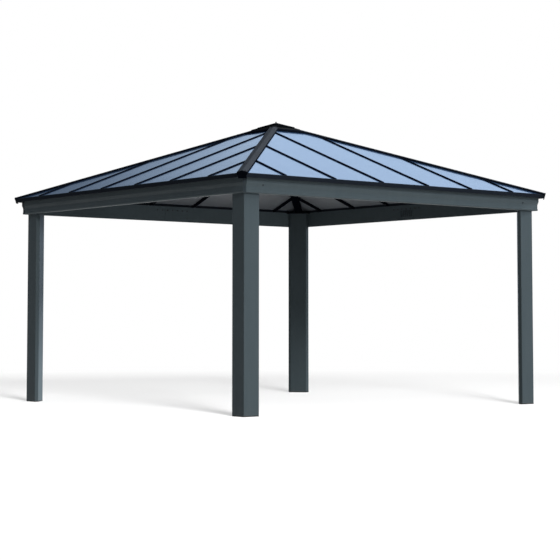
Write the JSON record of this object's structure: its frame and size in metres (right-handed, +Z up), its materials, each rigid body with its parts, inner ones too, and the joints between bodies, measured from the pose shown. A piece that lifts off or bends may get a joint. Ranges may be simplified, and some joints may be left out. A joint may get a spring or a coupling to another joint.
{
  "type": "gazebo",
  "caption": "Square metal gazebo with corner posts, boxed beams and a pyramidal hip roof of translucent twin-wall panels under an apex cap; free-standing and open on all sides.",
  "frame": {"origin": "on the floor at the centre of the square plan, under the apex", "axes": "+Z up; the front is the -Y face and the left is the -X face, and the sides lie along X and Y"},
  "size_m": [4.3396, 4.3396, 3.1718],
  "materials": {
    "frame_paint": "satin",
    "roof_paint": "satin",
    "foot_plate": "satin",
    "end_cap": "matte",
    "roof_panel": "translucent satin"
  },
  "bodies": {
    "root": {"post_back_right": "frame_paint", "post_back_left": "frame_paint", "post_front_left": "frame_paint", "post_front_right": "frame_paint", "foot_plate_back_right": "foot_plate", "foot_plate_back_left": "foot_plate", "foot_plate_front_left": "foot_plate", "foot_plate_front_right": "foot_plate", "corner_bracket_back_right": "frame_paint", "corner_bracket_back_left": "frame_paint", "corner_bracket_front_left": "frame_paint", "corner_bracket_front_right": "frame_paint", "beam_right": "frame_paint", "beam_back": "frame_paint", "beam_left": "frame_paint", "beam_front": "frame_paint", "splice_plates": "frame_paint", "eave_trim_right": "roof_paint", "eave_trim_back": "roof_paint", "eave_trim_left": "roof_paint", "eave_trim_front": "roof_paint", "roof_panels_right": "roof_panel", "roof_panels_back": "roof_panel", "roof_panels_left": "roof_panel", "roof_panels_front": "roof_panel", "glazing_bars_right": "roof_paint", "glazing_bars_back": "roof_paint", "glazing_bars_left": "roof_paint", "glazing_bars_front": "roof_paint", "hip_rafter_back_right": "roof_paint", "hip_rafter_back_left": "roof_paint", "hip_rafter_front_left": "roof_paint", "hip_rafter_front_right": "roof_paint", "hip_cap_back_right": "roof_paint", "hip_cap_back_left": "roof_paint", "hip_cap_front_left": "roof_paint", "hip_cap_front_right": "roof_paint", "hip_end_cap_back_right": "end_cap", "hip_end_cap_back_left": "end_cap", "hip_end_cap_front_left": "end_cap", "hip_end_cap_front_right": "end_cap", "apex_hub": "roof_paint", "apex_cap": "roof_paint", "apex_nut": "roof_paint"}
  },
  "joints": []
}
